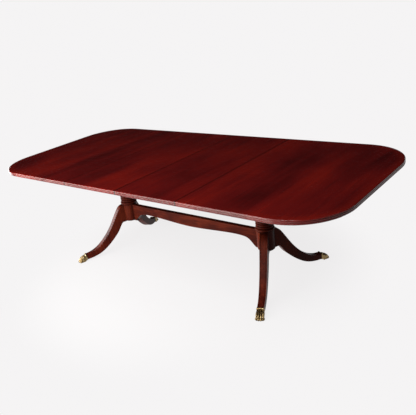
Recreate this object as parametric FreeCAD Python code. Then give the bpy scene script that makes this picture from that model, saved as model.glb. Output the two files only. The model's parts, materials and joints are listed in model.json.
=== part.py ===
import FreeCAD, Part
import math
import os

V = FreeCAD.Vector
X_AXIS = V(1, 0, 0)
Y_AXIS = V(0, 1, 0)
Z_AXIS = V(0, 0, 1)
ORIGIN = V(0, 0, 0)

# Whole table
table_length = 2720.0
table_width = 1220.0
table_height = 760.0
corner_radius = 305.0
slab_thickness = 28.0
leaf_length = 480.0

# Fits and cuts
overrun = 5.0
seam_gap = 0.4
slide_gap = 0.3
glue_gap = 0.1
screw_gap = 0.2

# Reeded edge of the top
edge_round = 5.5
edge_reed_radius = 2.6
edge_reed_shares = (0.36, 0.68)

# Alignment pins in the seams
pin_radius = 4.5
pin_in_own_piece = 24.0
pin_in_next_piece = 22.0
pin_hole_extra = 2.0
pin_row_shares = (-0.78, -0.28, 0.28, 0.78)

# Columns
column_distance = 620.0
block_radius = 57.0
block_bottom = 226.0
block_round = 9.0
block_top = 358.0
quirk_radius = 52.0
quirk_height = 2.0
collar_height = 19.0
collar_radius = 62.0
ring_count = 4
ring_height = 16.0
ring_root_radius = 50.0
ring_radius = 57.0
vase_foot_radius = 38.0
vase_foot_height = 14.0
vase_belly_radius = 49.0
vase_belly_height = 62.0
vase_neck_radius = 33.0
vase_neck_height = 80.0
neck_ring_height = 14.0
neck_ring_radius = 43.0
capital_radius = 58.0
column_tenon_radius = 24.0
column_tenon_length = 30.0

# Bearers and slides under the top
bearer_height = 40.0
bearer_width = 150.0
bearer_length = 520.0
bearer_tip_height = 20.0
bearer_taper_length = 60.0
rail_height = 44.0
rail_width = 46.0
rail_length = 1660.0
rail_inset = 80.0
rail_groove_height = 14.0
rail_groove_depth = 12.0
runner_width = 36.0
runner_drop = 1.0
runner_overlap = 620.0
runner_end_inset = 170.0
runner_relief = 1.0

# Legs
leg_angle = 65.0
leg_root_top = 355.0
leg_root_width = 52.0
leg_toe_width = 41.0
leg_end_reach = 407.0
leg_end_top = 50.0
leg_end_bottom = 14.0
leg_flat = 22.0
leg_top_shares = (
    (0.08, 0.04),
    (0.151, 0.138),
    (0.251, 0.318),
    (0.383, 0.541),
    (0.537, 0.738),
    (0.68, 0.875),
    (0.823, 0.961),
)
leg_low_shares = (
    (0.049, 0.075),
    (0.11, 0.22),
    (0.216, 0.415),
    (0.323, 0.571),
    (0.445, 0.722),
    (0.598, 0.87),
    (0.78, 0.965),
)
leg_bead_width = 7.0
leg_quirk_width = 2.6
leg_quirk_depth = 2.4
toe_tenon_length = 23.0
toe_tenon_width = 24.0
toe_tenon_height = 13.0
toe_tenon_bottom = 20.0

# Dovetails of legs and stretcher in the block
dovetail_neck = 17.0
dovetail_tail = 25.0
dovetail_depth = 18.0
dovetail_height = 96.0
dovetail_seat = 2.0

# Stretcher
stretcher_top = 353.0
stretcher_thickness = 36.0
stretcher_arris = 5.0
stretcher_flat = 22.0
stretcher_mid_depth = 79.0
stretcher_waist_depth = 61.0
stretcher_waist_share = 0.67
stretcher_flare_shares = ((0.81, 0.04), (0.88, 0.2), (0.925, 0.52), (0.958, 0.82))

# Paw caps
paw_reach = 476.0
cuff_length = 12.0
cuff_width = 47.0
cuff_top = 54.0
cuff_bottom = 10.0
cuff_round = 5.0
paw_core_width = 43.0
paw_core_top = 44.0
paw_heel = 24.0
paw_heel_width = 45.0
paw_heel_top = 38.0
paw_nose_width = 46.0
paw_nose_top = 16.0
paw_round = 5.0
toe_tip_radius = 8.6
toe_ridge_width = 15.0
toe_ridge_height = 25.0
toe_ridge_run_share = 1.12
toe_root_row = 32.0
toe_tip_row = 41.0
toe_root_height = 38.0
toe_end_height = 14.0
toe_tip_height = 8.0
toe_row_shares = (-0.5, -0.17, 0.17, 0.5)
toe_set_back_shares = (0.1, 0.0, 0.0, 0.1)
claw_radius = 3.4
claw_tip_radius = 1.2
claw_length = 8.0
claw_show = 3.0
claw_height = 5.0

# Iron leg plates
plate_thickness = 3.0
plate_disc_radius = 36.0
plate_arm_width = 24.0
plate_arm_reach = 78.0
plate_screw_reach = 69.0
plate_screw_inner = 20.0

# Cleats under the end tops
cleat_width = 60.0
cleat_height = 22.0
cleat_length = 760.0
cleat_gap = 24.0
cleat_round = 6.0
cleat_screw_shares = (-0.82, -0.3, 0.3, 0.82)

# Wood screws
screw_radius = 2.5
screw_head_radius = 5.0
screw_head_height = 2.8
screw_length = 34.0
short_screw_length = 20.0
screw_recess_radius = 6.5
screw_bite = 14.0
cleat_screw_length = 32.0
rail_screw_length = 58.0
rail_screw_share = 0.3
runner_screw_shares = (0.1, 0.5, 0.9)
paw_screw_radius = 2.0
paw_screw_head_radius = 4.0
paw_screw_head_height = 2.0
paw_screw_length = 16.0
paw_screw_inset = 10.0

# Heights and places that follow
half_length = table_length / 2
half_width = table_width / 2
top_under = table_height - slab_thickness
rail_top = top_under - slide_gap
rail_bottom = rail_top - rail_height
bearer_bottom = rail_bottom - bearer_height
rail_distance = bearer_length / 2 - rail_inset
toe_reach = leg_end_reach
dovetail_top = block_bottom + dovetail_height
paw_screw_reach = toe_reach + toe_tenon_length - paw_screw_inset
paw_screw_bottom = toe_tenon_bottom - screw_bite / 2


# Shapes used more than once
def polygon_prism(points, direction):
    wire = Part.makePolygon(points + [points[0]])
    return Part.Face(wire).extrude(direction)


def block(size, corner):
    return Part.makeBox(size[0], size[1], size[2], V(corner[0], corner[1], corner[2]))


def curve_through(points, start=None, end=None):
    curve = Part.BSplineCurve()
    if start is None:
        curve.interpolate(points)
    else:
        curve.interpolate(Points=points, InitialTangent=start, FinalTangent=end)
    return curve.toShape()


def wood_screw(radius, head_radius, head_height, length, gap):
    profile = [
        V(0, 0, -gap),
        V(head_radius + gap, 0, -gap),
        V(head_radius + gap, 0, 0),
        V(radius + gap, 0, head_height + gap),
        V(radius + gap, 0, length - radius),
        V(0, 0, length + gap),
    ]
    if gap == 0:
        profile = [profile[0]] + profile[2:]
    face = Part.Face(Part.makePolygon(profile + [profile[0]]))
    return face.revolve(ORIGIN, Z_AXIS, 360)


def common_screw(length, gap):
    return wood_screw(screw_radius, screw_head_radius, screw_head_height, length, gap)


def place(shape, spot):
    moved = shape.copy()
    moved.translate(spot)
    return moved


def turn_to_leg(shape, end, side):
    moved = shape.copy()
    angle = leg_angle if side > 0 else -leg_angle
    moved.rotate(ORIGIN, Z_AXIS, angle if end > 0 else 180 - angle)
    moved.translate(V(end * column_distance, 0, 0))
    return moved


def turn_round(shape, end):
    moved = shape.copy()
    if end < 0:
        moved.rotate(ORIGIN, Z_AXIS, 180)
    return moved


def group(shapes):
    return Part.makeCompound(shapes)


def write(name, shape):
    shape.exportStep("parts/" + name + ".step")


# Seats of the pins along a seam
def pin_seats():
    return [share * half_width for share in pin_row_shares]


def pin(x_from, x_to, y):
    middle = table_height - slab_thickness / 2
    body = Part.makeCylinder(pin_radius, x_to - x_from, V(x_from, y, middle), X_AXIS)
    return body.makeChamfer(pin_radius / 3, body.Edges)


def pin_hole(x_from, x_to, y, gap):
    middle = table_height - slab_thickness / 2
    return Part.makeCylinder(pin_radius + gap, x_to - x_from, V(x_from, y, middle), X_AXIS)


# Outline of the moulded edge of an end top, from the front seam corner round to the rear one
def end_edge(inner, height):
    r = corner_radius
    a = V(inner, -half_width, height)
    b = V(half_length - r, -half_width, height)
    c = V(half_length, -half_width + r, height)
    d = V(half_length, half_width - r, height)
    e = V(half_length - r, half_width, height)
    f = V(inner, half_width, height)
    slant = r * math.sin(math.radians(45))
    m1 = V(half_length - r + slant, -half_width + r - slant, height)
    m2 = V(half_length - r + slant, half_width - r + slant, height)
    arc1 = Part.Arc(b, m1, c).toShape()
    arc2 = Part.Arc(d, m2, e).toShape()
    return [Part.makeLine(a, b), arc1, Part.makeLine(c, d), arc2, Part.makeLine(e, f)]


# Edge profile of the slab: rounded arrises and two reeded grooves
def edge_profile(x, y_edge, inward):
    low = top_under
    high = table_height
    deep = inward * edge_round
    bend = inward * edge_round * (1 - math.sin(math.radians(45)))
    lift = edge_round * (1 - math.sin(math.radians(45)))
    pieces = []
    start = V(x, y_edge + deep, low)
    corner = V(x, y_edge, low + edge_round)
    pieces.append(Part.Arc(start, V(x, y_edge + bend, low + lift), corner).toShape())
    at = corner
    for share in edge_reed_shares:
        middle = low + share * slab_thickness
        lower = V(x, y_edge, middle - edge_reed_radius)
        upper = V(x, y_edge, middle + edge_reed_radius)
        pieces.append(Part.makeLine(at, lower))
        pieces.append(Part.Arc(lower, V(x, y_edge + inward * edge_reed_radius, middle), upper).toShape())
        at = upper
    shoulder = V(x, y_edge, high - edge_round)
    pieces.append(Part.makeLine(at, shoulder))
    end = V(x, y_edge + deep, high)
    pieces.append(Part.Arc(shoulder, V(x, y_edge + bend, high - lift), end).toShape())
    return pieces, start, end


# Leaf: the moulded edge runs along the front and the rear
def leaf_slab(inner, outer):
    front, front_low, front_high = edge_profile(inner, -half_width, 1)
    rear, rear_low, rear_high = edge_profile(inner, half_width, -1)
    lines = front + rear + [Part.makeLine(front_high, rear_high), Part.makeLine(front_low, rear_low)]
    face = Part.Face(Part.Wire(Part.__sortEdges__(lines)))
    return face.extrude(V(outer - inner, 0, 0))


# End top: the slab is turned and swept round the moulded edge
def end_slab(inner):
    path = end_edge(inner, top_under)
    joint_line = Part.makeLine(V(inner, half_width, top_under), V(inner, -half_width, top_under))
    outline = Part.Wire(path + [joint_line])
    slab = Part.Face(outline).extrude(V(0, 0, slab_thickness))
    profile, low, high = edge_profile(inner, -half_width, 1)
    out_low = V(inner, -half_width - overrun, top_under - overrun)
    out_high = V(inner, -half_width - overrun, table_height + overrun)
    in_low = V(inner, low.y, top_under - overrun)
    in_high = V(inner, high.y, table_height + overrun)
    lines = profile + [Part.makeLine(high, in_high), Part.makeLine(in_high, out_high)]
    lines = lines + [Part.makeLine(out_high, out_low), Part.makeLine(out_low, in_low)]
    lines.append(Part.makeLine(in_low, low))
    section = Part.Face(Part.Wire(Part.__sortEdges__(lines)))
    straight = half_length - corner_radius - inner
    cutters = [section.extrude(V(straight, 0, 0))]
    pivot_front = V(half_length - corner_radius, -half_width + corner_radius, 0)
    at_corner = section.translated(V(straight, 0, 0))
    cutters.append(at_corner.revolve(pivot_front, Z_AXIS, 90))
    at_end = at_corner.copy()
    at_end.rotate(pivot_front, Z_AXIS, 90)
    cutters.append(at_end.extrude(V(0, table_width - 2 * corner_radius, 0)))
    at_rear = at_end.translated(V(0, table_width - 2 * corner_radius, 0))
    pivot_rear = V(half_length - corner_radius, half_width - corner_radius, 0)
    cutters.append(at_rear.revolve(pivot_rear, Z_AXIS, 90))
    at_back = at_rear.copy()
    at_back.rotate(pivot_rear, Z_AXIS, 90)
    cutters.append(at_back.extrude(V(-straight, 0, 0)))
    for cutter in cutters:
        slab = slab.cut(cutter)
    return slab


# Column with its block, rings, vase and tenon, turned about its axis
def column_profile():
    slant = 1 - math.sin(math.radians(45))
    pieces = []
    at = V(0, 0, block_bottom)
    foot = V(block_radius - block_round, 0, block_bottom)
    pieces.append(Part.makeLine(at, foot))
    side = V(block_radius, 0, block_bottom + block_round)
    bend = V(block_radius - slant * block_round, 0, block_bottom + slant * block_round)
    pieces.append(Part.Arc(foot, bend, side).toShape())
    rim = V(block_radius, 0, block_top)
    pieces.append(Part.makeLine(side, rim))
    at = V(quirk_radius, 0, block_top)
    pieces.append(Part.makeLine(rim, at))
    z = block_top + quirk_height
    step = V(quirk_radius, 0, z)
    pieces.append(Part.makeLine(at, step))
    above = V(quirk_radius, 0, z + collar_height)
    pieces.append(Part.Arc(step, V(collar_radius, 0, z + collar_height / 2), above).toShape())
    z = z + collar_height
    at = V(ring_root_radius, 0, z)
    pieces.append(Part.makeLine(above, at))
    for ring in range(ring_count):
        end = V(ring_root_radius, 0, z + ring_height)
        pieces.append(Part.Arc(at, V(ring_radius, 0, z + ring_height / 2), end).toShape())
        z = z + ring_height
        at = end
    foot_rim = V(vase_foot_radius, 0, z + vase_foot_height)
    hollow_radius = vase_foot_radius + slant * (ring_root_radius - vase_foot_radius)
    hollow = V(hollow_radius, 0, z + vase_foot_height * slant)
    pieces.append(Part.Arc(at, hollow, foot_rim).toShape())
    z = z + vase_foot_height
    belly = V(vase_belly_radius, 0, z + vase_belly_height)
    neck = V(vase_neck_radius, 0, z + vase_belly_height + vase_neck_height)
    pieces.append(curve_through([foot_rim, belly, neck], X_AXIS, Z_AXIS))
    z = neck.z
    above = V(vase_neck_radius, 0, z + neck_ring_height)
    pieces.append(Part.Arc(neck, V(neck_ring_radius, 0, z + neck_ring_height / 2), above).toShape())
    shoulder = V(capital_radius, 0, bearer_bottom)
    flare = V(vase_neck_radius + slant * (capital_radius - vase_neck_radius), 0, 0)
    flare.z = above.z + (1 - slant) * (bearer_bottom - above.z)
    pieces.append(Part.Arc(above, flare, shoulder).toShape())
    ledge = V(column_tenon_radius, 0, bearer_bottom)
    pieces.append(Part.makeLine(shoulder, ledge))
    tip = V(column_tenon_radius, 0, bearer_bottom + column_tenon_length)
    pieces.append(Part.makeLine(ledge, tip))
    crown = V(0, 0, tip.z)
    pieces.append(Part.makeLine(tip, crown))
    pieces.append(Part.makeLine(crown, V(0, 0, block_bottom)))
    return Part.Face(Part.Wire(pieces))


# Dovetail tongue along local X, with its root at the block's face
def dovetail(gap):
    inner = block_radius - dovetail_depth - gap
    outer = block_radius + overrun
    neck = dovetail_neck / 2 + gap
    tail = dovetail_tail / 2 + gap
    bottom = block_bottom - overrun if gap > 0 else block_bottom + dovetail_seat
    plan = ((inner, -tail), (outer, -neck), (outer, neck), (inner, tail))
    points = [V(x, y, bottom) for x, y in plan]
    return polygon_prism(points, V(0, 0, dovetail_top + gap - bottom))


def column(end):
    body = column_profile().revolve(ORIGIN, Z_AXIS, 360)
    slot = dovetail(glue_gap)
    slots = [slot.copy(), slot.copy(), slot.copy()]
    slots[0].rotate(ORIGIN, Z_AXIS, leg_angle)
    slots[1].rotate(ORIGIN, Z_AXIS, -leg_angle)
    slots[2].rotate(ORIGIN, Z_AXIS, 180)
    body = body.cut(group(slots))
    hole = common_screw(short_screw_length, screw_gap)
    body = body.cut(place(hole, V(plate_screw_inner, 0, block_bottom - plate_thickness)))
    return place(turn_round(body, end), V(end * column_distance, 0, 0))


# Sabre leg along local X from the block, reeded along both upper arrises
def leg_curves():
    run = toe_reach - block_radius
    rise = leg_root_top - leg_end_top
    top = [V(block_radius - overrun, 0, leg_root_top), V(block_radius, 0, leg_root_top)]
    top = top + [V(block_radius + a * run, 0, leg_root_top - b * rise) for a, b in leg_top_shares]
    top.append(V(toe_reach, 0, leg_end_top))
    flat_end = block_radius + leg_flat
    low_run = toe_reach - flat_end
    fall = block_bottom - leg_end_bottom
    low = [V(flat_end, 0, block_bottom)]
    low = low + [V(flat_end + a * low_run, 0, block_bottom - b * fall) for a, b in leg_low_shares]
    low.append(V(toe_reach, 0, leg_end_bottom))
    return top, low


def leg():
    top, low = leg_curves()
    upper = curve_through(top)
    lower = curve_through(low)
    start = V(block_radius - overrun, 0, block_bottom)
    edges = [upper, Part.makeLine(top[-1], low[-1]), lower, Part.makeLine(low[0], start)]
    edges.append(Part.makeLine(start, top[0]))
    outline = Part.Face(Part.Wire(Part.__sortEdges__(edges)))
    body = outline.extrude(V(0, leg_root_width, 0))
    body.translate(V(0, -leg_root_width / 2, 0))
    # Narrowed in plan from root to toe
    plan = [
        V(0, -leg_root_width / 2, 0),
        V(toe_reach + overrun, -leg_toe_width / 2, 0),
        V(toe_reach + overrun, leg_toe_width / 2, 0),
        V(0, leg_root_width / 2, 0),
    ]
    body = body.common(polygon_prism(plan, V(0, 0, table_height)))
    # Quirks beside the two beads
    sink = V(0, 0, -leg_quirk_depth)
    lift = V(0, 0, overrun)
    deep = upper.translated(sink)
    high = upper.translated(lift)
    ends = [Part.makeLine(top[0] + sink, top[0] + lift), Part.makeLine(top[-1] + sink, top[-1] + lift)]
    band = Part.Face(Part.Wire(Part.__sortEdges__([deep, high] + ends)))
    quirk = band.extrude(V(0, leg_quirk_width, 0))
    narrowing = math.degrees(math.atan((leg_root_width - leg_toe_width) / 2 / toe_reach))
    right = quirk.translated(V(0, leg_root_width / 2 - leg_bead_width - leg_quirk_width, 0))
    right.rotate(ORIGIN, Z_AXIS, -narrowing)
    left = right.mirror(ORIGIN, Y_AXIS)
    body = body.cut(right).cut(left)
    # Root hollowed to the block, with the dovetail tongue
    seat = Part.makeCylinder(block_radius + glue_gap, table_height)
    body = body.cut(seat)
    body = body.fuse(dovetail(0))
    # Tenon for the paw cap
    tenon = block(
        (toe_tenon_length + overrun, toe_tenon_width, toe_tenon_height),
        (toe_reach - overrun, -toe_tenon_width / 2, toe_tenon_bottom),
    )
    body = body.fuse(tenon)
    hole = common_screw(short_screw_length, screw_gap)
    body = body.cut(place(hole, V(plate_screw_reach, 0, block_bottom - plate_thickness)))
    body = body.cut(paw_screw(screw_gap))
    return body.removeSplitter()


# Screw through the underside of a paw cap into the tenon
def paw_screw(gap):
    shape = wood_screw(
        paw_screw_radius,
        paw_screw_head_radius,
        paw_screw_head_height,
        paw_screw_length,
        gap,
    )
    return place(shape, V(paw_screw_reach, 0, paw_screw_bottom))


def rounded_section(x, width, low, high, radius):
    half = width / 2
    a = V(x, -half, low)
    b = V(x, half, low)
    c = V(x, half, high - radius)
    d = V(x, half - radius, high)
    e = V(x, -half + radius, high)
    f = V(x, -half, high - radius)
    slant = radius * (1 - math.sin(math.radians(45)))
    m1 = V(x, half - slant, high - slant)
    m2 = V(x, -half + slant, high - slant)
    lines = [Part.makeLine(a, b), Part.makeLine(b, c), Part.Arc(c, m1, d).toShape()]
    lines = lines + [Part.makeLine(d, e), Part.Arc(e, m2, f).toShape(), Part.makeLine(f, a)]
    return Part.Wire(lines)


# One toe: a long oval ridge from the cuff down to a round tip, with its claw
def toe(row, set_back):
    front = paw_reach - claw_show - toe_tip_radius - set_back * (paw_reach - toe_reach)
    root = V(toe_reach + cuff_length / 2, row * toe_root_row, toe_root_height)
    end = V(front, row * toe_tip_row, toe_end_height)
    way = end - root
    stretch = FreeCAD.Matrix()
    stretch.scale(toe_ridge_run_share * way.Length / 2, toe_ridge_width / 2, toe_ridge_height / 2)
    ridge = Part.makeSphere(1).transformGeometry(stretch)
    drop = math.degrees(math.asin((root.z - end.z) / way.Length))
    ridge.rotate(ORIGIN, Y_AXIS, drop)
    ridge.rotate(ORIGIN, Z_AXIS, math.degrees(math.atan2(way.y, way.x)))
    ridge.translate(root + way * 0.5)
    tip = Part.makeSphere(toe_tip_radius, V(front, end.y, toe_tip_height))
    claw_at = V(front + toe_tip_radius + claw_show - claw_length, end.y, claw_height)
    claw = Part.makeCone(claw_radius, claw_tip_radius, claw_length, claw_at, X_AXIS)
    return ridge.fuse(tip).fuse(claw)


# Cast paw: cuff, core with a raised heel, four fanned toes with claws, hollow for the tenon
def paw():
    back = toe_reach + glue_gap
    cuff_end = back + cuff_length
    nose = paw_reach - claw_show - toe_tip_radius
    lip = cuff_round / 2
    cuff = Part.makeLoft(
        [
            rounded_section(back, cuff_width - lip, cuff_bottom, cuff_top - lip, cuff_round),
            rounded_section(back + cuff_length / 2, cuff_width, cuff_bottom, cuff_top, cuff_round),
            rounded_section(cuff_end, cuff_width - 2 * lip, cuff_bottom, cuff_top - 2 * lip, cuff_round),
        ],
        True,
        False,
    )
    core = Part.makeLoft(
        [
            rounded_section(back + cuff_length / 2, paw_core_width, cuff_bottom, paw_core_top, paw_round),
            rounded_section(back + paw_heel, paw_heel_width, -overrun, paw_heel_top, paw_round),
            rounded_section(nose, paw_nose_width, -overrun, paw_nose_top, paw_round),
        ],
        True,
        True,
    )
    body = cuff.fuse(core)
    for row, set_back in zip(toe_row_shares, toe_set_back_shares):
        body = body.fuse(toe(row, set_back))
    body = body.cut(block((paw_reach, table_width, table_height), (0, -half_width, -table_height)))
    socket_width = toe_tenon_width + 2 * glue_gap
    socket_height = toe_tenon_height + 2 * glue_gap
    socket = block(
        (toe_tenon_length + glue_gap + overrun, socket_width, socket_height),
        (toe_reach - overrun, -socket_width / 2, toe_tenon_bottom - glue_gap),
    )
    body = body.cut(socket)
    access = Part.makeCylinder(
        paw_screw_head_radius + screw_gap,
        paw_screw_bottom + overrun,
        V(paw_screw_reach, 0, -overrun),
    )
    body = body.cut(access).cut(paw_screw(screw_gap))
    return body.removeSplitter()


# Stretcher: straight top, serpentine lower edge that flares down to both blocks
def stretcher():
    half_span = column_distance - block_radius
    mid = stretcher_top - stretcher_mid_depth
    waist = stretcher_top - stretcher_waist_depth
    foot = half_span - stretcher_flat
    fall = waist - block_bottom
    waist_at = stretcher_waist_share * half_span
    right = [V(half_span * a, 0, waist - b * fall) for a, b in stretcher_flare_shares]
    right = [V(waist_at, 0, waist)] + right + [V(foot + stretcher_flat / 2, 0, block_bottom)]
    left = [V(-p.x, 0, p.z) for p in reversed(right)]
    low = curve_through(left + [V(0, 0, mid)] + right)
    past = half_span + overrun
    corners = [
        V(right[-1].x, 0, block_bottom),
        V(past, 0, block_bottom),
        V(past, 0, stretcher_top),
        V(-past, 0, stretcher_top),
        V(-past, 0, block_bottom),
        V(left[0].x, 0, block_bottom),
    ]
    lines = [Part.makeLine(corners[i], corners[i + 1]) for i in range(len(corners) - 1)]
    outline = Part.Face(Part.Wire(Part.__sortEdges__([low] + lines)))
    body = outline.extrude(V(0, stretcher_thickness, 0))
    body.translate(V(0, -stretcher_thickness / 2, 0))
    high = [e for e in body.Edges if e.BoundBox.ZMin > stretcher_top - slide_gap]
    arrises = [e for e in high if e.BoundBox.XLength > half_span]
    body = body.makeFillet(stretcher_arris, arrises)
    for end in (-1, 1):
        seat = Part.makeCylinder(block_radius + glue_gap, table_height, V(end * column_distance, 0, 0))
        body = body.cut(seat)
    for end in (-1, 1):
        tongue = dovetail(0)
        if end > 0:
            tongue.rotate(ORIGIN, Z_AXIS, 180)
        body = body.fuse(place(tongue, V(end * column_distance, 0, 0)))
        hole = common_screw(short_screw_length, screw_gap)
        spot = V(end * (column_distance - plate_screw_reach), 0, block_bottom - plate_thickness)
        body = body.cut(place(hole, spot))
    return body.removeSplitter()


# Iron plate under a block, one arm to each leg and one to the stretcher
def leg_plate(end):
    body = Part.makeCylinder(plate_disc_radius, plate_thickness, V(0, 0, block_bottom - plate_thickness))
    arm_length = plate_arm_reach - plate_arm_width / 2
    arm = block((arm_length, plate_arm_width, plate_thickness), (0, -plate_arm_width / 2, 0))
    tip_at = V(arm_length, 0, 0)
    arm = arm.fuse(Part.makeCylinder(plate_arm_width / 2, plate_thickness, tip_at))
    arm.translate(V(0, 0, block_bottom - plate_thickness))
    for turn in (leg_angle, -leg_angle, 180):
        part = arm.copy()
        part.rotate(ORIGIN, Z_AXIS, turn)
        body = body.fuse(part)
    for spot in plate_screw_spots():
        hole = common_screw(short_screw_length, screw_gap)
        body = body.cut(place(hole, spot))
    return place(turn_round(body.removeSplitter(), end), V(end * column_distance, 0, 0))


def plate_screw_spots():
    low = block_bottom - plate_thickness
    spots = [V(plate_screw_inner, 0, low)]
    for turn in (leg_angle, -leg_angle, 180):
        angle = math.radians(turn)
        spots.append(V(plate_screw_reach * math.cos(angle), plate_screw_reach * math.sin(angle), low))
    return spots


def plate_screws(end):
    shape = common_screw(short_screw_length, 0)
    screws = group([place(shape, spot) for spot in plate_screw_spots()])
    return place(turn_round(screws, end), V(end * column_distance, 0, 0))


# Bearer across the top of a column, tapered at both tips
def bearer_screw_spots(end):
    across = rail_screw_share * bearer_width
    spots = []
    for y in (-rail_distance, rail_distance):
        for x in (-across, across):
            spots.append(V(end * column_distance + x, y, bearer_bottom))
    return spots


def bearer(end):
    half = bearer_length / 2
    low = bearer_bottom
    points = [
        V(0, -half + bearer_taper_length, low),
        V(0, half - bearer_taper_length, low),
        V(0, half, rail_bottom - bearer_tip_height),
        V(0, half, rail_bottom),
        V(0, -half, rail_bottom),
        V(0, -half, rail_bottom - bearer_tip_height),
    ]
    body = polygon_prism(points, V(bearer_width, 0, 0))
    body.translate(V(end * column_distance - bearer_width / 2, 0, 0))
    bore = Part.makeCylinder(
        column_tenon_radius + glue_gap,
        column_tenon_length + glue_gap + overrun,
        V(end * column_distance, 0, low - overrun),
    )
    body = body.cut(bore)
    for spot in bearer_screw_spots(end):
        hole = common_screw(rail_screw_length, screw_gap)
        body = body.cut(place(hole, spot))
    return body


# Fixed slide rail with a groove along both faces
def slide_rail(side):
    y = side * rail_distance
    corner = (-rail_length / 2, y - rail_width / 2, rail_bottom)
    body = block((rail_length, rail_width, rail_height), corner)
    groove_low = rail_bottom + (rail_height - rail_groove_height) / 2
    for face in (-1, 1):
        deep = y + face * (rail_width / 2 - rail_groove_depth / 2 + overrun / 2)
        width = rail_groove_depth + overrun
        groove = block(
            (rail_length + 2 * overrun, width, rail_groove_height),
            (-rail_length / 2 - overrun, deep - width / 2, groove_low),
        )
        body = body.cut(groove)
    for end in (-1, 1):
        for spot in bearer_screw_spots(end):
            hole = common_screw(rail_screw_length, screw_gap)
            body = body.cut(place(hole, spot))
    return body


def rail_screws():
    shape = common_screw(rail_screw_length, 0)
    return group([place(shape, spot) for end in (-1, 1) for spot in bearer_screw_spots(end)])


# Runner under an end top, its tongue in the rail's groove
def runner_reach():
    inner = rail_length / 2 - runner_overlap
    outer = half_length - runner_end_inset
    return inner, outer


def runner_screw_spots(end, side):
    inner, outer = runner_reach()
    joint = leaf_length + seam_gap
    lane = runner_lane(end, side)
    spots = []
    for share in runner_screw_shares:
        x = joint + share * (outer - joint)
        spots.append(V(end * x, lane, top_under + screw_bite - screw_length))
    return spots


def runner_lane(end, side):
    away = 1 if end > 0 else -1
    return side * (rail_distance + away * (rail_width / 2 + slide_gap + runner_width / 2))


def runner(end, side):
    inner, outer = runner_reach()
    lane = runner_lane(end, side)
    low = rail_bottom + runner_drop
    body = block((outer - inner, runner_width, top_under - low), (inner, -runner_width / 2, low))
    relief_to = leaf_length + seam_gap * 2 + overrun
    relief = block(
        (relief_to - inner + overrun, runner_width + 2 * overrun, runner_relief + overrun),
        (inner - overrun, -runner_width / 2 - overrun, top_under - runner_relief),
    )
    body = body.cut(relief)
    toward_rail = -side if end > 0 else side
    tongue_height = rail_groove_height - 2 * slide_gap
    tongue_depth = rail_groove_depth
    tongue_low = rail_bottom + (rail_height - rail_groove_height) / 2 + slide_gap
    y_from = runner_width / 2 - overrun if toward_rail > 0 else -runner_width / 2 - tongue_depth
    tongue = block((outer - inner, tongue_depth + overrun, tongue_height), (inner, y_from, tongue_low))
    body = body.fuse(tongue).removeSplitter()
    if end < 0:
        body = body.mirror(ORIGIN, X_AXIS)
    body = place(body, V(0, lane, 0))
    for spot in runner_screw_spots(end, side):
        hole = common_screw(screw_length, screw_gap)
        body = body.cut(place(hole, spot))
        below = V(spot.x, spot.y, low - overrun)
        body = body.cut(Part.makeCylinder(screw_recess_radius, spot.z - below.z, below))
    return body


def runner_screws(end):
    shape = common_screw(screw_length, 0)
    return group([place(shape, spot) for side in (-1, 1) for spot in runner_screw_spots(end, side)])


# Cleat across the outer part of an end top
def cleat_screw_spots(end):
    inner, outer = runner_reach()
    x = end * (outer + cleat_gap + cleat_width / 2)
    low = top_under - cleat_height
    return [V(x, share * cleat_length / 2, low) for share in cleat_screw_shares]


def cleat(end):
    inner, outer = runner_reach()
    start = outer + cleat_gap if end > 0 else -outer - cleat_gap - cleat_width
    low = top_under - cleat_height
    body = block((cleat_width, cleat_length, cleat_height), (start, -cleat_length / 2, low))
    lower = [e for e in body.Edges if e.BoundBox.ZMax < low + cleat_height / 2]
    body = body.makeChamfer(cleat_round, lower)
    for spot in cleat_screw_spots(end):
        hole = common_screw(cleat_screw_length, screw_gap)
        body = body.cut(place(hole, spot))
    return body


def cleat_screws(end):
    shape = common_screw(cleat_screw_length, 0)
    return group([place(shape, spot) for spot in cleat_screw_spots(end)])


# End tops with their pin holes and screw holes
def end_top(end):
    joint = leaf_length + seam_gap
    slab = turn_round(end_slab(joint), end)
    for y in pin_seats():
        if end > 0:
            hole = pin_hole(joint - overrun, joint + pin_in_next_piece + pin_hole_extra, y, slide_gap)
        else:
            hole = pin_hole(-joint - pin_in_own_piece - glue_gap, -joint + overrun, y, glue_gap)
        slab = slab.cut(hole)
    for side in (-1, 1):
        for spot in runner_screw_spots(end, side):
            shape = common_screw(screw_length, screw_gap)
            slab = slab.cut(place(shape, spot))
    for spot in cleat_screw_spots(end):
        shape = common_screw(cleat_screw_length, screw_gap)
        slab = slab.cut(place(shape, spot))
    return slab


# Leaves with their pin holes
def leaf(end):
    inner = seam_gap / 2
    outer = leaf_length
    slab = leaf_slab(inner, outer) if end > 0 else leaf_slab(-outer, -inner)
    deep = pin_in_next_piece + pin_hole_extra
    own = pin_in_own_piece + glue_gap
    for y in pin_seats():
        if end > 0:
            slab = slab.cut(pin_hole(inner - overrun, inner + deep, y, slide_gap))
            slab = slab.cut(pin_hole(outer - own, outer + overrun, y, glue_gap))
        else:
            slab = slab.cut(pin_hole(-outer - overrun, -outer + deep, y, slide_gap))
            slab = slab.cut(pin_hole(-inner - own, -inner + overrun, y, glue_gap))
    return slab


# Pins: each row is glued in the piece on its left
def pins(seam):
    return group([pin(seam - pin_in_own_piece, seam + pin_in_next_piece, y) for y in pin_seats()])


os.makedirs("parts", exist_ok=True)

write("left_end_top", end_top(-1))
write("right_end_top", end_top(1))
write("left_leaf", leaf(-1))
write("right_leaf", leaf(1))
write("left_end_pins", pins(-leaf_length - seam_gap))
write("left_leaf_pins", pins(-seam_gap / 2))
write("right_leaf_pins", pins(leaf_length))

write("slide_rail_front", slide_rail(-1))
write("slide_rail_rear", slide_rail(1))
write("rail_screws", rail_screws())
write("stretcher", stretcher())

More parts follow.
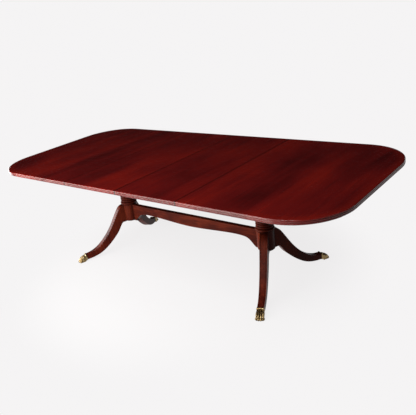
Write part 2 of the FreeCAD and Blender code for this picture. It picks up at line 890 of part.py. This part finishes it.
leg_shape = leg()
paw_shape = paw()
paw_screw_shape = paw_screw(0)
paw_screw_set = []
for end, end_name in ((-1, "left"), (1, "right")):
    write(end_name + "_column", column(end))
    write(end_name + "_bearer", bearer(end))
    write(end_name + "_leg_plate", leg_plate(end))
    write(end_name + "_plate_screws", plate_screws(end))
    write(end_name + "_cleat", cleat(end))
    write(end_name + "_cleat_screws", cleat_screws(end))
    write(end_name + "_runner_screws", runner_screws(end))
    for side, side_name in ((-1, "front"), (1, "rear")):
        write(end_name + "_runner_" + side_name, runner(end, side))
        write(end_name + "_leg_" + side_name, turn_to_leg(leg_shape, end, side))
        write(end_name + "_paw_" + side_name, turn_to_leg(paw_shape, end, side))
        paw_screw_set.append(turn_to_leg(paw_screw_shape, end, side))
write("paw_screws", group(paw_screw_set))
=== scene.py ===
import bpy
import json
import math
from collections import namedtuple
from mathutils import Matrix, Vector

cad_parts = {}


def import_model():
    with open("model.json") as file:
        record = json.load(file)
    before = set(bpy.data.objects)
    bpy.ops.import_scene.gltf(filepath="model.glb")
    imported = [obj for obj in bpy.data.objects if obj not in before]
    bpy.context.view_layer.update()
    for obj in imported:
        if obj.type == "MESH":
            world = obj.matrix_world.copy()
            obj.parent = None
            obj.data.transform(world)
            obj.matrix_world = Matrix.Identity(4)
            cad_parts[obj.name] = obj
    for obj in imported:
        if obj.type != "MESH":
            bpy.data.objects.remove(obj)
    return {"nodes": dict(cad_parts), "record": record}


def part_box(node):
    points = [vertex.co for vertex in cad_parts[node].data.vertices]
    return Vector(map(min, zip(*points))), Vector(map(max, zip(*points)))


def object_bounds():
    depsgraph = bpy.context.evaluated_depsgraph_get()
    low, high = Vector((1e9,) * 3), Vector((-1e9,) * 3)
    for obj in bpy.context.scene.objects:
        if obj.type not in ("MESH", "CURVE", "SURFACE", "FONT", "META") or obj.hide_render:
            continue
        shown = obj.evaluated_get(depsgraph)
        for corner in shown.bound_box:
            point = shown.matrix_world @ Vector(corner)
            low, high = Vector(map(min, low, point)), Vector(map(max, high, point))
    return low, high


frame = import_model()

cad_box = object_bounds()
nodes = frame["nodes"]
SLOT_OF = {part["node"]: part["material_slot"] for part in frame["record"]["subparts"]}

# The table, in metres. Its half sizes, height and outer seams come from the frame.
HALF_LENGTH = cad_box[1].x
HALF_WIDTH = cad_box[1].y
TABLE_HEIGHT = cad_box[1].z
CORNER_RADIUS = 0.305
LEFT_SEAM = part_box("left_leaf")[0].x
MIDDLE_SEAM = 0.0
RIGHT_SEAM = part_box("right_leaf")[1].x
ORIGIN = (0.0, 0.0, 0.0)

# Colours that are used in several places, linear
BLACK = (0.0, 0.0, 0.0)
WHITE = (1.0, 1.0, 1.0)
BACKGROUND = (0.913, 0.902, 0.906)
# Dark colour of dirt and painted shade in the hollows of the wood
WOOD_DIRT_AND_SHADE = (0.008, 0.0022, 0.0018)

# Values for the node helpers
OPAQUE = (1.0,)
COLOUR_SIZE = 4
MIX_FIRST = 6
MIX_SECOND = 7
MIX_RESULT = 2
RAMP_MIDDLE = 0.5
HOLLOW_SAMPLES = 8

# A layer of noise
Noise = namedtuple("Noise", "scale detail roughness distortion")
# Hollows of a surface, found by ambient occlusion: how far they are felt, in metres, and the depth
# where the darkening of dirt and painted shade starts and is full
Hollow = namedtuple("Hollow", "reach start full")
# Roughness: the smoothest value, and what a layer of noise adds to it
Gloss = namedtuple("Gloss", "smooth spread")
# Fine relief, its depth in metres
Relief = namedtuple("Relief", "strength depth")


# Builds the nodes of one material or world
class Shader:
    def __init__(self, owner):
        owner.use_nodes = True
        self.owner = owner
        self.tree = owner.node_tree
        self.tree.nodes.clear()

    # A socket takes a link from another node, a colour or a plain value
    def put(self, socket, value):
        if hasattr(value, "is_output"):
            self.tree.links.new(value, socket)
        elif isinstance(value, tuple) and len(socket.default_value) == COLOUR_SIZE:
            socket.default_value = value + OPAQUE
        else:
            socket.default_value = value

    # Adds a node, sets its values and fills its inputs, which are named or numbered
    def add(self, kind, inputs=None, **values):
        node = self.tree.nodes.new(kind)
        for key, value in values.items():
            setattr(node, key, value)
        for key, value in (inputs or {}).items():
            self.put(node.inputs[key], value)
        return node

    def object_place(self):
        return self.add("ShaderNodeTexCoord").outputs["Object"]

    def axes(self, vector):
        return self.add("ShaderNodeSeparateXYZ", {0: vector}).outputs

    def scaled(self, vector, scale, shift=ORIGIN):
        inputs = {"Vector": vector, "Location": shift, "Scale": scale}
        return self.add("ShaderNodeMapping", inputs).outputs[0]

    def math(self, operation, a, b=0.0):
        return self.add("ShaderNodeMath", {0: a, 1: b}, operation=operation).outputs[0]

    def distance(self, a, b):
        squares = self.math("ADD", self.math("MULTIPLY", a, a), self.math("MULTIPLY", b, b))
        return self.math("SQRT", squares)

    # Rises smoothly from 0 at low to 1 at high
    def between(self, value, low, high):
        inputs = {"Value": value, "From Min": low, "From Max": high}
        return self.add("ShaderNodeMapRange", inputs, interpolation_type="SMOOTHSTEP").outputs[0]

    # Falls smoothly from 1 at low to 0 at high
    def near(self, value, low, high):
        return self.math("SUBTRACT", 1.0, self.between(value, low, high))

    # Sum of the values, each times its share
    def blended(self, values, shares):
        parts = [self.math("MULTIPLY", value, share) for value, share in zip(values, shares)]
        total = parts[0]
        for part in parts[1:]:
            total = self.math("ADD", total, part)
        return total

    def varied(self, smooth, value, spread):
        return self.math("ADD", smooth, self.math("MULTIPLY", value, spread))

    def noise(self, vector, layer):
        inputs = {
            "Vector": vector,
            "Scale": layer.scale,
            "Detail": layer.detail,
            "Roughness": layer.roughness,
            "Distortion": layer.distortion,
        }
        return self.add("ShaderNodeTexNoise", inputs).outputs[0]

    def ramp(self, factor, places, tones):
        node = self.add("ShaderNodeValToRGB", {0: factor})
        elements = node.color_ramp.elements
        while len(elements) < len(tones):
            elements.new(RAMP_MIDDLE)
        for element, place, tone in zip(elements, places, tones):
            element.position = place
            element.color = tone + OPAQUE
        return node.outputs[0]

    def mix(self, factor, a, b):
        inputs = {"Factor": factor, MIX_FIRST: a, MIX_SECOND: b}
        return self.add("ShaderNodeMix", inputs, data_type="RGBA").outputs[MIX_RESULT]

    # Moves a colour toward a tint: used for stains, wear, dirt and painted shade
    def tinted_toward(self, colour, tint, amount, share):
        return self.mix(self.math("MULTIPLY", amount, share), colour, tint)

    # Ambient occlusion: how deeply a point lies in a hollow; it masks the darkening of hollows, which
    # is partly painted shade
    def hollows(self, hollow):
        inputs = {"Distance": hollow.reach}
        node = self.add("ShaderNodeAmbientOcclusion", inputs, samples=HOLLOW_SAMPLES)
        depth = self.math("SUBTRACT", 1.0, node.outputs["AO"])
        return self.between(depth, hollow.start, hollow.full)

    def bump(self, height, relief):
        inputs = {"Height": height, "Strength": relief.strength, "Distance": relief.depth}
        return self.add("ShaderNodeBump", inputs).outputs[0]

    def finish(self, **sockets):
        inputs = {key.replace("_", " "): value for key, value in sockets.items()}
        surface = self.add("ShaderNodeBsdfPrincipled", inputs)
        self.add("ShaderNodeOutputMaterial", {"Surface": surface.outputs[0]})
        return self.owner


# Polished top: figure and streaks across the table, a redder worn border, and seams and grooves
# darkened with wax, dirt and painted shade
TOP_TONES = ((0.042, 0.0022, 0.0024), (0.098, 0.0042, 0.004), (0.165, 0.0068, 0.004))
TOP_TONE_PLACES = (0.38, 0.5, 0.62)
TOP_STREAK = (0.02, 0.0016, 0.002)
TOP_WORN = (0.2, 0.0085, 0.0032)
# Dark wax and painted shade of the gap beside the seams
TOP_SEAM_WAX_AND_SHADE = (0.012, 0.002, 0.002)
FIGURE_STRETCH = (1.0, 0.1, 1.0)
CLOUD_STRETCH = (1.0, 0.6, 1.0)
FIBRE_STRETCH = (1.0, 0.035, 1.0)
TOP_BROAD = Noise(2.4, 2.0, 0.5, 0.5)
TOP_CLOUD = Noise(3.4, 2.0, 0.5, 0.0)
TOP_BANDS = Noise(11.0, 3.0, 0.6, 0.9)
TOP_FIBRES = Noise(120.0, 3.0, 0.6, 0.0)
TOP_SHARES = (0.42, 0.3, 0.16, 0.12)
STREAKS = Noise(24.0, 2.0, 0.6, 0.4)
STREAK_FADE = (0.6, 0.74)
STREAK_SHARE = 0.3
BORDER_FADE = (0.01, 0.065)
END_FADE = (0.7, 1.2)
WORN_SHARES = (0.3, 0.12)
# Beside each seam: wax, dirt and painted shade of the gap
SEAM_FADE = (0.0025, 0.0075)
SEAM_SHARES = ((LEFT_SEAM, 0.8), (MIDDLE_SEAM, 0.95), (RIGHT_SEAM, 0.8))
# The top's grooves and other hollows are darkened with dirt and painted shade
TOP_HOLLOW = Hollow(0.007, 0.2, 0.75)
TOP_DIRT_AND_SHADE_SHARE = 0.75
TOP_GLOSS = Gloss(0.17, 0.1)
TOP_SPECULAR = 0.4
TOP_RELIEF = Relief(0.03, 0.0003)

# Each top piece is cut from its own boards, so its figure is shifted
BOARD_SHIFT = {
    "left_end_top": (0.0, 0.3, 0.0),
    "left_leaf": (2.3, 1.1, 0.4),
    "right_leaf": (5.1, 0.2, 0.9),
    "right_end_top": (8.4, 2.2, 0.2),
}


# How far a point of the top lies inside the rounded outline
def inside_outline(s, x, y):
    past = []
    for along, half in ((x, HALF_LENGTH), (y, HALF_WIDTH)):
        beyond = s.math("SUBTRACT", s.math("ABSOLUTE", along), half - CORNER_RADIUS)
        past.append(s.math("MAXIMUM", beyond, 0.0))
    return s.math("SUBTRACT", CORNER_RADIUS, s.distance(*past))


def top_wood(name, shift):
    s = Shader(bpy.data.materials.new(name))
    place = s.object_place()
    x, y = s.axes(place)[:2]
    figure = s.scaled(place, FIGURE_STRETCH, shift)
    broad = s.noise(figure, TOP_BROAD)
    cloud = s.noise(s.scaled(place, CLOUD_STRETCH, shift), TOP_CLOUD)
    bands = s.noise(figure, TOP_BANDS)
    fibres = s.noise(s.scaled(place, FIBRE_STRETCH, shift), TOP_FIBRES)
    mixed = s.blended((broad, cloud, bands, fibres), TOP_SHARES)
    colour = s.ramp(mixed, TOP_TONE_PLACES, TOP_TONES)
    streaks = s.between(s.noise(figure, STREAKS), *STREAK_FADE)
    colour = s.tinted_toward(colour, TOP_STREAK, streaks, STREAK_SHARE)
    # The border is worn most towards the ends
    border = s.near(inside_outline(s, x, y), *BORDER_FADE)
    toward_end = s.between(s.math("ABSOLUTE", x), *END_FADE)
    worn = s.blended((toward_end, cloud), WORN_SHARES)
    colour = s.tinted_toward(colour, TOP_WORN, border, worn)
    # Wax and dirt beside each seam, and painted shade of the seam's gap
    for seam, share in SEAM_SHARES:
        off = s.math("ABSOLUTE", s.math("SUBTRACT", x, seam))
        colour = s.tinted_toward(colour, TOP_SEAM_WAX_AND_SHADE, s.near(off, *SEAM_FADE), share)
    # Dirt and painted shade in the grooves and other hollows, by ambient occlusion
    colour = s.tinted_toward(colour, WOOD_DIRT_AND_SHADE, s.hollows(TOP_HOLLOW), TOP_DIRT_AND_SHADE_SHARE)
    return s.finish(
        Base_Color=colour,
        Roughness=s.varied(TOP_GLOSS.smooth, fibres, TOP_GLOSS.spread),
        Specular_IOR_Level=TOP_SPECULAR,
        Normal=s.bump(fibres, TOP_RELIEF),
    )


# Turned, sawn and carved wood, with grain along one axis, and in its hollows dark polish and painted
# shade
Wood = namedtuple("Wood", "tones shift gloss specular dirt_share")
BASE_WOOD = Wood(
    tones=((0.016, 0.0022, 0.0018), (0.054, 0.0066, 0.0032), (0.125, 0.018, 0.0068)),
    shift=(1.7, 0.6, 0.3),
    gloss=Gloss(0.3, 0.12),
    specular=0.05,
    dirt_share=0.85,
)
SLIDE_WOOD = Wood(
    tones=((0.10, 0.05, 0.022), (0.19, 0.1, 0.05), (0.28, 0.16, 0.085)),
    shift=(0.4, 0.2, 0.1),
    gloss=Gloss(0.5, 0.12),
    specular=0.25,
    dirt_share=0.4,
)
PIN_WOOD = Wood(
    tones=((0.3, 0.18, 0.08), (0.42, 0.27, 0.14), (0.55, 0.38, 0.21)),
    shift=ORIGIN,
    gloss=Gloss(0.5, 0.12),
    specular=0.25,
    dirt_share=0.3,
)
WOOD_TONE_PLACES = (0.37, 0.5, 0.63)
GRAIN_STRETCH = 0.1
WOOD_BROAD = Noise(9.0, 3.0, 0.55, 0.6)
WOOD_CLOUD = Noise(7.0, 2.0, 0.5, 0.0)
WOOD_FIBRES = Noise(130.0, 4.0, 0.6, 0.2)
WOOD_SHARES = (0.42, 0.33, 0.25)
# How far hollows of the wood are felt for their dirt and painted shade
WOOD_HOLLOW = Hollow(0.016, 0.12, 0.6)
WOOD_RELIEF = Relief(0.04, 0.0004)


def wood(name, along, kind):
    s = Shader(bpy.data.materials.new(name))
    place = s.object_place()
    stretch = tuple(GRAIN_STRETCH if axis == along else 1.0 for axis in "XYZ")
    grain = s.scaled(place, stretch, kind.shift)
    fibres = s.noise(grain, WOOD_FIBRES)
    layers = (s.noise(grain, WOOD_BROAD), s.noise(place, WOOD_CLOUD), fibres)
    colour = s.ramp(s.blended(layers, WOOD_SHARES), WOOD_TONE_PLACES, kind.tones)
    # Dark polish and painted shade in the hollows, by ambient occlusion
    colour = s.tinted_toward(colour, WOOD_DIRT_AND_SHADE, s.hollows(WOOD_HOLLOW), kind.dirt_share)
    return s.finish(
        Base_Color=colour,
        Roughness=s.varied(kind.gloss.smooth, fibres, kind.gloss.spread),
        Specular_IOR_Level=kind.specular,
        Normal=s.bump(fibres, WOOD_RELIEF),
    )


# Cast brass, rubbed bright on the ridges, and dull and nearly black in the grooves with dark patina
# and painted shade
BRASS_TONES = ((0.075, 0.045, 0.018), (0.23, 0.16, 0.072), (0.6, 0.49, 0.28))
BRASS_TONE_PLACES = (0.3, 0.52, 0.74)
# Dark patina and painted shade in the grooves
BRASS_PATINA_AND_SHADE = (0.012, 0.008, 0.004)
BRASS_PATINA_AND_SHADE_SHARE = 0.94
PATINA = Noise(75.0, 5.0, 0.6, 0.3)
SCRATCHES = Noise(320.0, 3.0, 0.6, 0.0)
SCRATCH_STRETCH = (1.0, 1.0, 4.0)
BRASS_HOLLOW = Hollow(0.006, 0.18, 0.62)
BRASS_GLOSS = Gloss(0.2, 0.2)
GROOVE_DULLNESS = 0.4
BRASS_RELIEF = Relief(0.15, 0.0005)


def brass(name):
    s = Shader(bpy.data.materials.new(name))
    place = s.object_place()
    patina = s.noise(place, PATINA)
    scratches = s.noise(s.scaled(place, SCRATCH_STRETCH), SCRATCHES)
    # Grooves by ambient occlusion; their near-black colour is dark patina and painted shade
    grooves = s.hollows(BRASS_HOLLOW)
    colour = s.ramp(patina, BRASS_TONE_PLACES, BRASS_TONES)
    polish = s.varied(BRASS_GLOSS.smooth, patina, BRASS_GLOSS.spread)
    return s.finish(
        Base_Color=s.tinted_toward(colour, BRASS_PATINA_AND_SHADE, grooves, BRASS_PATINA_AND_SHADE_SHARE),
        Metallic=1.0,
        Roughness=s.varied(polish, grooves, GROOVE_DULLNESS),
        Normal=s.bump(scratches, BRASS_RELIEF),
    )


# Plain metal of the hidden plates and screws
Metal = namedtuple("Metal", "tones gloss metallic")
IRON = Metal(
    tones=((0.01, 0.01, 0.01), (0.035, 0.034, 0.033)),
    gloss=Gloss(0.45, 0.2),
    metallic=0.4,
)
STEEL = Metal(
    tones=((0.25, 0.24, 0.23), (0.5, 0.49, 0.47)),
    gloss=Gloss(0.3, 0.2),
    metallic=1.0,
)
METAL_TONE_PLACES = (0.35, 0.7)
METAL_WEAR = Noise(140.0, 4.0, 0.6, 0.0)


def metal(name, kind):
    s = Shader(bpy.data.materials.new(name))
    wear = s.noise(s.object_place(), METAL_WEAR)
    return s.finish(
        Base_Color=s.ramp(wear, METAL_TONE_PLACES, kind.tones),
        Metallic=kind.metallic,
        Roughness=s.varied(kind.gloss.smooth, wear, kind.gloss.spread),
    )


# Paints by material slot. Pieces of a grained wood share one paint for each way of the grain.
GRAINED_WOODS = {"mahogany_base": BASE_WOOD, "slide_wood": SLIDE_WOOD}
GRAIN_OF = {
    "column": "Z",
    "leg": "Z",
    "stretcher": "X",
    "bearer": "Y",
    "cleat": "Y",
    "runner": "X",
    "rail": "X",
}
paints = {
    "paw_brass": brass("paw_brass_cast"),
    "leg_iron": metal("leg_iron_black", IRON),
    "screw_steel": metal("screw_steel_plain", STEEL),
    "pin_wood": wood("pin_wood_beech", "X", PIN_WOOD),
}


def paint_of(node):
    slot = SLOT_OF[node]
    if slot == "mahogany_top":
        return top_wood(node + "_wood", BOARD_SHIFT[node])
    if slot not in GRAINED_WOODS:
        return paints[slot]
    way = next(way for word, way in GRAIN_OF.items() if word in node)
    key = slot + "_" + way
    if key not in paints:
        paints[key] = wood(key, way, GRAINED_WOODS[slot])
    return paints[key]


for node_name, node_object in nodes.items():
    node_object.data.materials.clear()
    node_object.data.materials.append(paint_of(node_name))


# Rays that see the pale background: from the camera, in reflections and through glass
def background_rays(s, rays):
    seen = rays["Is Camera Ray"]
    for kind in ("Is Glossy Ray", "Is Transmission Ray"):
        seen = s.math("MAXIMUM", seen, rays[kind])
    return seen


# Floor just below the feet: a pale glow, with some plain paint near the table that takes its shadow
FLOOR_HALF_SIZE = 60.0
FLOOR_LEVEL = -0.0005
FLOOR_GLOW = (0.805, 0.795, 0.799)
FLOOR_TONES = ((0.1, 0.1, 0.1), (0.102, 0.102, 0.102))
FLOOR_TONE_PLACES = (0.3, 0.7)
FLOOR_SPECKS = Noise(9.0, 2.0, 0.5, 0.0)
FLOOR_FADE = (0.75, 1.35)


def floor_paint():
    s = Shader(bpy.data.materials.new("floor_paint"))
    place = s.object_place()
    x, y = s.axes(place)[:2]
    far = s.between(s.distance(x, y), *FLOOR_FADE)
    tone = s.ramp(s.noise(place, FLOOR_SPECKS), FLOOR_TONE_PLACES, FLOOR_TONES)
    seen = background_rays(s, s.add("ShaderNodeLightPath").outputs)
    diffuse = s.add("ShaderNodeBsdfDiffuse", {"Color": s.mix(far, tone, BLACK)})
    glow_inputs = {"Color": s.mix(far, FLOOR_GLOW, BACKGROUND), "Strength": seen}
    glow = s.add("ShaderNodeEmission", glow_inputs)
    both = s.add("ShaderNodeAddShader", {0: diffuse.outputs[0], 1: glow.outputs[0]})
    s.add("ShaderNodeOutputMaterial", {"Surface": both.outputs[0]})
    return s.owner


def floor():
    ways = ((-1, -1), (1, -1), (1, 1), (-1, 1))
    corners = [(x * FLOOR_HALF_SIZE, y * FLOOR_HALF_SIZE, FLOOR_LEVEL) for x, y in ways]
    mesh = bpy.data.meshes.new("floor")
    mesh.from_pydata(corners, [], [(0, 1, 2, 3)])
    mesh.materials.append(floor_paint())
    plane = bpy.data.objects.new("floor", mesh)
    bpy.context.scene.collection.objects.link(plane)


# World: pale to the camera, grey as light, and in reflections pale at the horizon under a dim ceiling
CEILING = (0.007, 0.006, 0.006)
ROOM_LIGHT = (0.13, 0.13, 0.133)
HORIZON_FADE = (0.0, 0.045)


def world():
    studio = bpy.data.worlds.new("studio")
    bpy.context.scene.world = studio
    s = Shader(studio)
    rays = s.add("ShaderNodeLightPath").outputs
    rise = s.axes(s.add("ShaderNodeTexCoord").outputs["Generated"])[2]
    reflected = s.mix(s.between(rise, *HORIZON_FADE), BACKGROUND, CEILING)
    pale_colour = s.mix(rays["Is Glossy Ray"], BACKGROUND, reflected)
    pale = s.add("ShaderNodeBackground", {"Color": pale_colour})
    light = s.add("ShaderNodeBackground", {"Color": ROOM_LIGHT})
    choice = {0: background_rays(s, rays), 1: light.outputs[0], 2: pale.outputs[0]}
    both = s.add("ShaderNodeMixShader", choice)
    s.add("ShaderNodeOutputWorld", {"Surface": both.outputs[0]})


# Lamps: a weak sun from the right rear, and soft windows at the front, above the front and at the left
REAR_FILL_PLACE = (2.5, 2.0, 3.5)
REAR_FILL_POWER = 0.22
REAR_FILL_ANGLE = 50.0
WARM_WHITE = (1.0, 0.95, 0.88)
Window = namedtuple("Window", "place aim power width height colour")
WINDOWS = {
    "front_window": Window(
        place=(-1.8, -2.1, 0.47),
        aim=(-1.8, 0.0, 0.47),
        power=135.0,
        width=4.4,
        height=0.9,
        colour=WARM_WHITE,
    ),
    "top_bank": Window(
        place=(-0.1, -2.1, 2.45),
        aim=(-0.1, -0.3, TABLE_HEIGHT),
        power=96.0,
        width=3.6,
        height=1.6,
        colour=WHITE,
    ),
    "left_window": Window(
        place=(-3.2, -0.2, 0.37),
        aim=(0.0, -0.2, 0.37),
        power=20.0,
        width=1.2,
        height=0.7,
        colour=WHITE,
    ),
}


def lamp(name, kind, place, aim, power, **values):
    data = bpy.data.lights.new(name, kind)
    data.energy = power
    for key, value in values.items():
        setattr(data, key, value)
    lamp_object = bpy.data.objects.new(name, data)
    lamp_object.visible_camera = False
    bpy.context.scene.collection.objects.link(lamp_object)
    way = Vector(aim) - Vector(place)
    turn = way.to_track_quat("-Z", "Y").to_matrix().to_4x4()
    lamp_object.matrix_world = Matrix.Translation(Vector(place)) @ turn


def lamps():
    angle = math.radians(REAR_FILL_ANGLE)
    lamp("rear_fill", "SUN", REAR_FILL_PLACE, ORIGIN, REAR_FILL_POWER, angle=angle)
    for name, window in WINDOWS.items():
        lamp(
            name,
            "AREA",
            window.place,
            window.aim,
            window.power,
            shape="RECTANGLE",
            size=window.width,
            size_y=window.height,
            color=window.colour,
        )


# Camera, turned round its aim and then rolled, in metres and degrees, matched to the photo
PHOTO_WIDTH_PX = 416.0
SENSOR_MM = 36.0
FOCAL_PX = 515.26
CAMERA_AZIMUTH = 41.18
CAMERA_ELEVATION = 21.816
CAMERA_ROLL = -7.837
CAMERA_DISTANCE = 2.593
CAMERA_AIM = Vector((0.7064, -0.6061, 0.76))


def camera():
    azimuth = math.radians(CAMERA_AZIMUTH)
    elevation = math.radians(CAMERA_ELEVATION)
    roll = math.radians(CAMERA_ROLL)
    level = math.cos(elevation)
    back = Vector((math.sin(azimuth) * level, -math.cos(azimuth) * level, math.sin(elevation)))
    right = Vector((0.0, 0.0, 1.0)).cross(back).normalized()
    up = back.cross(right)
    right_rolled = math.cos(roll) * right + math.sin(roll) * up
    up_rolled = -math.sin(roll) * right + math.cos(roll) * up
    lens = bpy.data.cameras.new("camera")
    lens.sensor_fit = "HORIZONTAL"
    lens.sensor_width = SENSOR_MM
    lens.lens = FOCAL_PX / PHOTO_WIDTH_PX * SENSOR_MM
    camera_object = bpy.data.objects.new("camera", lens)
    bpy.context.scene.collection.objects.link(camera_object)
    axes = Matrix((right_rolled, up_rolled, back)).transposed().to_4x4()
    camera_object.matrix_world = Matrix.Translation(CAMERA_AIM + back * CAMERA_DISTANCE) @ axes
    bpy.context.scene.camera = camera_object


floor()
world()
lamps()
camera()
bpy.context.scene.view_settings.view_transform = "Standard"
